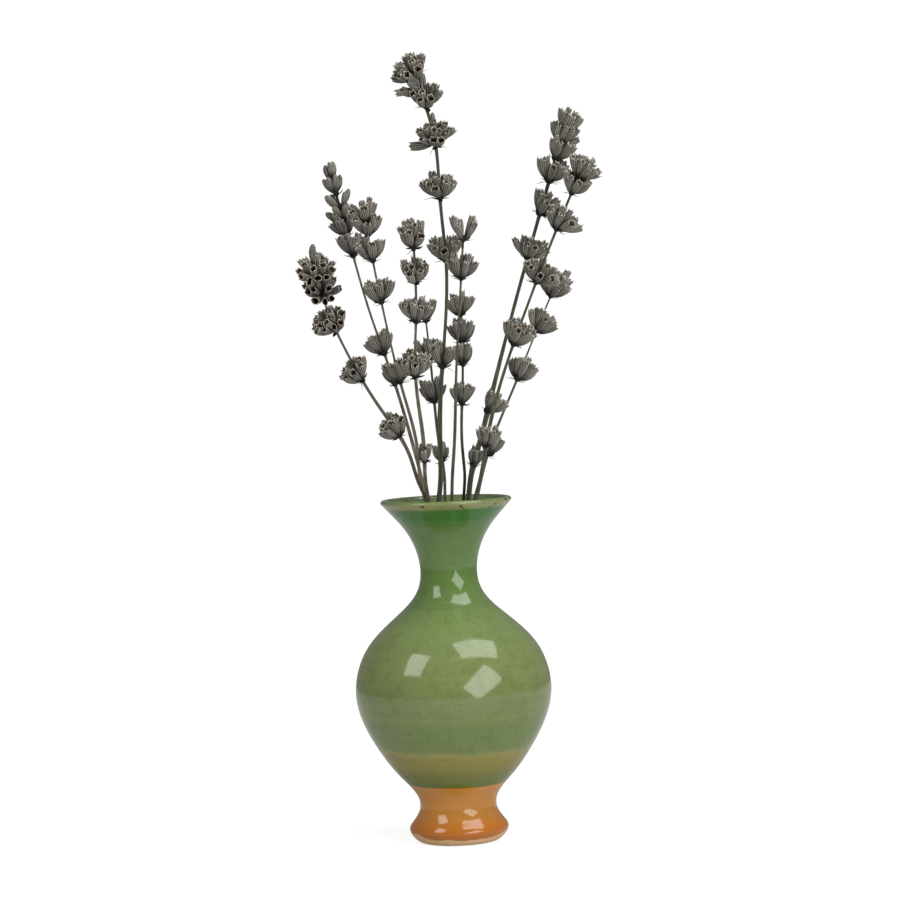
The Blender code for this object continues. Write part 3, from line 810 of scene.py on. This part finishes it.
# ---------------------------------------------------------------- clusters
# what differs from an ordinary whorl, for (sprig, whorl from the top down):
# nod turns the cluster's mouths away from the stem's direction, and extra adds cups as
# (bearing in degrees, 0 right and 90 away; lean from the stem in degrees; up the stem, mm; size),
# and wide scales the whorl's radius
WHORLS = {
    (1, 1): {"nod": (-0.35, -0.75, 0.0), "outer": 10, "inner": 6},
    (1, 2): {"nod": (-0.20, -0.25, 0.0), "outer": 7, "inner": 3},
    (1, 3): {"nod": (-0.10, -0.30, 0.0), "outer": 8, "inner": 4},
    (2, 1): {"nod": (0.15, -0.05, 0.0), "outer": 8, "inner": 3},
    (2, 2): {"outer": 7, "inner": 3},
    (3, 1): {"outer": 8, "inner": 3},
    (4, 1): {"nod": (0.0, -0.25, 0.0)},
    (4, 3): {"nod": (0.0, -0.15, 0.0)},
    (6, 1): {"nod": (0.05, -0.50, 0.0), "outer": 10, "inner": 6, "wide": 1.06,
             "extra": [(182, 84, 0.3, 1.06), (-14, 68, 1.0, 0.95), (20, 508, 5.6, 0.62)]},
    (6, 2): {"nod": (0.0, -0.18, 0.0), "outer": 9, "inner": 5},
    (6, 3): {"nod": (0.0, -0.20, 0.0), "outer": 9, "inner": 5, "wide": 0.95},
    (6, 4): {"wide": 0.93},
    (8, 2): {"wide": 0.90},
    (9, 1): {"nod": (0.05, 0.05, 0.0), "outer": 9, "inner": 4},
    (9, 2): {"nod": (0.38, 0.0, 0.0), "outer": 9, "inner": 4},
    (9, 3): {"nod": (0.10, 0.0, 0.0), "outer": 9, "inner": 4, "wide": 1.10},
    (9, 4): {"nod": (0.55, -0.10, 0.0), "outer": 8, "inner": 3, "wide": 0.88},
    (10, 1): {"nod": (0.25, 0.0, 0.0), "outer": 10, "inner": 4, "wide": 1.08},
    (10, 2): {"nod": (0.10, -0.15, 0.0), "outer": 11, "inner": 6, "wide": 1.14},
    (10, 3): {"nod": (0.15, -0.10, 0.0), "outer": 11, "inner": 6},
    (11, 1): {"nod": (0.10, -0.20, 0.0), "outer": 10, "inner": 5},
    (11, 2): {"nod": (0.10, -0.15, 0.0), "outer": 9, "inner": 4},
}
# the clusters that make up each tip: (height from the stem's end, mm; radius; outer; inner; nod; closed; size)
TIPS = {
    1: [(-1.5, 6.0, 10, 4, (0.25, -1.0, -0.2), False, 1.0), (3.8, 6.3, 11, 6, (0.15, -0.8, 0.1), False, 1.0),
        (7.4, 1.6, 0, 1, (0.35, 0, 0), True, 0.85)],
    2: [(-8.4, 4.2, 8, 3, (-0.1, -0.1, 0), False, 0.95), (-4.2, 4.4, 5, 0, (-0.1, -0.1, 0), True, 0.90),
        (-0.2, 4.4, 5, 0, (-0.1, 0, 0), True, 0.90), (4.0, 3.9, 4, 1, (0, 0, 0), True, 0.88),
        (8.4, 2.5, 3, 0, (0, 0, 0), True, 0.85)],
    3: [(-1.4, 4.9, 8, 2, (0, -0.2, 0), False, 1.0), (2.4, 5.2, 9, 4, (-0.1, -0.1, 0), False, 0.95)],
    4: [(-0.2, 4.2, 7, 1, (0, -0.3, 0), False, 0.98), (1.8, 3.2, 6, 2, (0, -0.2, 0), False, 0.95)],
    5: [(-0.2, 4.0, 7, 2, (0, -0.2, 0), False, 0.95)],
    6: [(-0.2, 4.8, 8, 3, (0.28, -0.5, 0.0), False, 1.0), (3.6, 4.4, 4, 2, (-0.45, -0.2, 0.0), False, 0.95),
        (8.4, 6.0, 11, 7, (-0.30, -0.40, 0.0), False, 1.03)],
    7: [(1.8, 4.4, 5, 1, (0.05, 0, 0), False, 1.0)],
    8: [(-0.2, 4.2, 7, 2, (0, -0.2, 0), False, 0.95)],
    9: [(-1.2, 4.3, 8, 2, (0.25, 0, 0), False, 1.0), (3.2, 4.3, 8, 2, (0.15, 0, 0), False, 0.98),
        (7.2, 3.9, 7, 3, (0.25, 0, 0), False, 0.92)],
    10: [(-1.2, 4.9, 9, 1, (0.1, -0.1, 0), False, 0.97), (3.8, 5.0, 11, 5, (0.2, 0, 0), False, 0.95)],
    11: [(-0.4, 5.6, 10, 4, (0.05, -0.40, 0), False, 1.0), (1.8, 4.4, 7, 4, (0, -0.30, 0), False, 0.95)],
}


TIP_EXTRA = {
    6: [(186, 84, 5.6, 1.1), (200, 62, 4.2, 0.9)],
    9: [(10, 52, 2.4, 0.9)],
}


def add_cups(soup, rng, base, axis, side, front, cups):
    """Single cups. A lean of 500 or more is a closed bud at that lean less 500."""
    for bearing, lean_by, up, size in cups:
        a = math.radians(bearing)
        out = unit(math.cos(a) * np.array(side) + math.sin(a) * np.array(front))
        closed = lean_by >= 500
        lean_by -= 500 if closed else 0
        calyx(soup, rng, base + axis * up + out * 0.5, axis, out, math.radians(lean_by + 6), math.radians(lean_by - 6),
              size, closed)


def build_whorl_cups(number, k, sprig, station, made):
    rng = np.random.default_rng(100 * number + k)
    z, radius, height = station
    point = centreline(sprig)
    own = dict(WHORLS.get((number, k), {}))
    small = radius < 3.3
    size = 0.72 if small else (0.88 if radius < 4.1 else 1.0)
    outer = own.get("outer", 5 if small else (7 if radius < 4.7 else 9))
    inner = own.get("inner", 2 if small else (3 if radius < 4.7 else 5))
    radius *= own.get("wide", 1.0)
    axis = np.array(tangent(point, z))
    base = np.array(point(z)) - axis * height * 0.5
    soup = Soup()
    stem = sprig["stem"] * 0.84
    cluster(soup, rng, base, axis, stem, radius, outer, inner, size, nod=own.get("nod", (0, 0, 0)))
    side, front = square_axes(Vector(axis))
    add_cups(soup, rng, base, axis, side, front, own.get("extra", []))
    cups = soup.make(f"sprig_{number:02d}_whorl_{k}_cups")
    cups.data.materials.append(made)
    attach(cups, f"sprig_{number:02d}")
    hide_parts(f"sprig_{number:02d}_whorl_{k}")


def build_tip_cups(number, sprig, made):
    rng = np.random.default_rng(7000 + number)
    z, radius, height = sprig["tip"]
    point = centreline(sprig)
    axis = np.array(tangent(point, z - 0.5 * height))
    end = np.array(point(z - 0.5 * height)) + axis * 0.3
    soup = Soup()
    for up, part_radius, outer, inner, nod, closed, size in TIPS[number]:
        cluster(soup, rng, end + axis * up, axis, sprig["stem"] * 0.6, part_radius, outer, inner, size, closed, nod,
                bracts=3, threads=2)
    side, front = square_axes(Vector(axis))
    add_cups(soup, rng, end, axis, side, front, TIP_EXTRA.get(number, []))
    # the stem goes on inside the cluster
    top = max(row[0] for row in TIPS[number])
    if top > 0:
        t = np.array([-0.6, top * 0.5, top + 0.8])
        n1 = np.repeat(unit(np.cross((0, 1, 0), axis))[None, :], 3, axis=0)
        n2 = np.cross(np.repeat(axis[None, :], 3, axis=0), n1)
        thick = sprig["stem"] * np.array([0.34, 0.30, 0.24])
        soup.rings(path_rings(end + axis * t[:, None], n1, n2, thick, thick, 10),
                   np.tile(np.array([0.4, 0.2, 0.5, 1.0]), (3, 1)), close_first=end - axis * 0.6,
                   close_last=end + axis * (top + 0.8))
    cups = soup.make(f"sprig_{number:02d}_tip_cups")
    cups.data.materials.append(made)
    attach(cups, f"sprig_{number:02d}")
    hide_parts(f"sprig_{number:02d}_tip")


# ---------------------------------------------------------------- studio
def build_camera():
    data = bpy.data.cameras.new("camera")
    data.lens = 122.5
    data.sensor_width = 36
    data.clip_start, data.clip_end = 0.05, 20
    camera = bpy.data.objects.new("camera", data)
    bpy.context.scene.collection.objects.link(camera)
    camera.matrix_world = (Matrix.Translation((0.00186, -0.887, 0.1481))
                           @ Matrix.Rotation(math.radians(90 - 2.233), 4, "X")
                           @ Matrix.Rotation(math.radians(-2.394), 4, "Z"))
    bpy.context.scene.camera = camera


def build_panel(name, corners, distance, radiance):
    """A rectangular soft light seen in these four directions from the vase's belly."""
    centre = np.array((0.0, -0.024, 0.054))
    ways = [unit(c) for c in corners]
    normal = unit(sum(ways))
    spots = [w / np.dot(w, normal) * distance for w in ways]
    middle = sum(spots) / 4
    across = unit((spots[1] - spots[0]) + (spots[2] - spots[3]))
    up = unit(np.cross(normal, across))
    wide = (np.linalg.norm(spots[1] - spots[0]) + np.linalg.norm(spots[2] - spots[3])) / 2
    tall = (np.linalg.norm(spots[2] - spots[1]) + np.linalg.norm(spots[3] - spots[0])) / 2
    data = bpy.data.lights.new(name, "AREA")
    data.shape = "RECTANGLE"
    data.size, data.size_y = wide, tall
    data.energy = radiance * math.pi * wide * tall
    data.color = (0.97, 1.0, 0.98)
    light = bpy.data.objects.new(name, data)
    bpy.context.scene.collection.objects.link(light)
    # a lamp shines along its own -Z
    basis = Matrix((Vector(across), Vector(np.cross(normal, across)), Vector(normal))).transposed().to_4x4()
    light.matrix_world = Matrix.Translation(Vector(centre + middle)) @ basis
    light.visible_camera = False
    return light


def build_studio():
    world = bpy.data.worlds.new("studio")
    bpy.context.scene.world = world
    world.use_nodes = True
    tree = world.node_tree
    tree.nodes.clear()
    soft = tree.nodes.new("ShaderNodeBackground")
    soft.inputs["Color"].default_value = (1, 1, 1, 1)
    soft.inputs["Strength"].default_value = 0.24
    bright = tree.nodes.new("ShaderNodeBackground")
    bright.inputs["Color"].default_value = (1, 1, 1, 1)
    bright.inputs["Strength"].default_value = 1.05
    path = tree.nodes.new("ShaderNodeLightPath")
    mix = tree.nodes.new("ShaderNodeMixShader")
    out = tree.nodes.new("ShaderNodeOutputWorld")
    tree.links.new(path.outputs["Is Camera Ray"], mix.inputs[0])
    tree.links.new(soft.outputs[0], mix.inputs[1])
    tree.links.new(bright.outputs[0], mix.inputs[2])
    tree.links.new(mix.outputs[0], out.inputs[0])

    build_panel("panel_left", [(-0.602, -0.152, 0.784), (-0.382, -0.443, 0.811), (-0.594, -0.679, 0.432),
                               (-0.832, -0.395, 0.389)], 1.1, 5.0)
    build_panel("panel_top", [(-0.012, -0.240, 0.971), (0.579, 0.117, 0.807), (0.710, -0.271, 0.649),
                              (0.192, -0.563, 0.804)], 1.1, 5.0)
    build_panel("panel_right", [(0.564, -0.560, 0.606), (0.815, -0.469, 0.340), (0.491, -0.850, -0.192),
                                (0.206, -0.954, 0.218)], 1.1, 5.0)

    # the floor is pale to the eye, and dim to the glaze, as in a studio with black cards
    graph = Graph("floor_white")
    grain = graph.noise(graph.coords(), 60, 2.0, 0.5)
    graph.put(graph.shader.inputs["Base Color"], graph.mix(grain, grey(0.50), grey(0.54)))
    graph.shader.inputs["Roughness"].default_value = 0.9
    graph.shader.inputs["Specular IOR Level"].default_value = 0.0
    graph.shader.inputs["Emission Color"].default_value = grey(1.0)
    graph.shader.inputs["Emission Strength"].default_value = 0.76
    dim = graph.add("ShaderNodeBsdfDiffuse")
    dim.inputs["Color"].default_value = grey(0.8)
    seen = graph.add("ShaderNodeMixShader")
    graph.tree.links.new(graph.add("ShaderNodeLightPath").outputs["Is Camera Ray"], seen.inputs[0])
    graph.tree.links.new(dim.outputs[0], seen.inputs[1])
    graph.tree.links.new(graph.shader.outputs[0], seen.inputs[2])
    graph.tree.links.new(seen.outputs[0], graph.tree.nodes["Material Output"].inputs["Surface"])
    mesh = bpy.data.meshes.new("floor")
    turn = [(0.55 * math.cos(a), 0.55 * math.sin(a), -0.0002) for a in (2 * math.pi * k / 96 for k in range(96))]
    mesh.from_pydata(turn, [], [tuple(range(96))])
    mesh.materials.append(graph.material)
    floor = bpy.data.objects.new("floor", mesh)
    bpy.context.scene.collection.objects.link(floor)


# ---------------------------------------------------------------- all of it
bpy.context.scene.view_settings.view_transform = "Standard"
build_camera()
build_studio()
build_vase(glaze_material())
cups_made = calyx_material()
green_made = stem_material("olive_stem_grained", (84, 86, 64), (44, 48, 34), (70, 60, 48))
brown_made = stem_material("brown_stem_grained", (112, 100, 86), (62, 54, 46), (82, 70, 58))
for number, sprig in enumerate(SPRIGS, start=1):
    build_stem(number, sprig, green_made if sprig["green"] else brown_made)
    build_tip_cups(number, sprig, cups_made)
    for k, station in enumerate(sprig["whorls"], start=1):
        build_whorl_cups(number, k, sprig, station, cups_made)
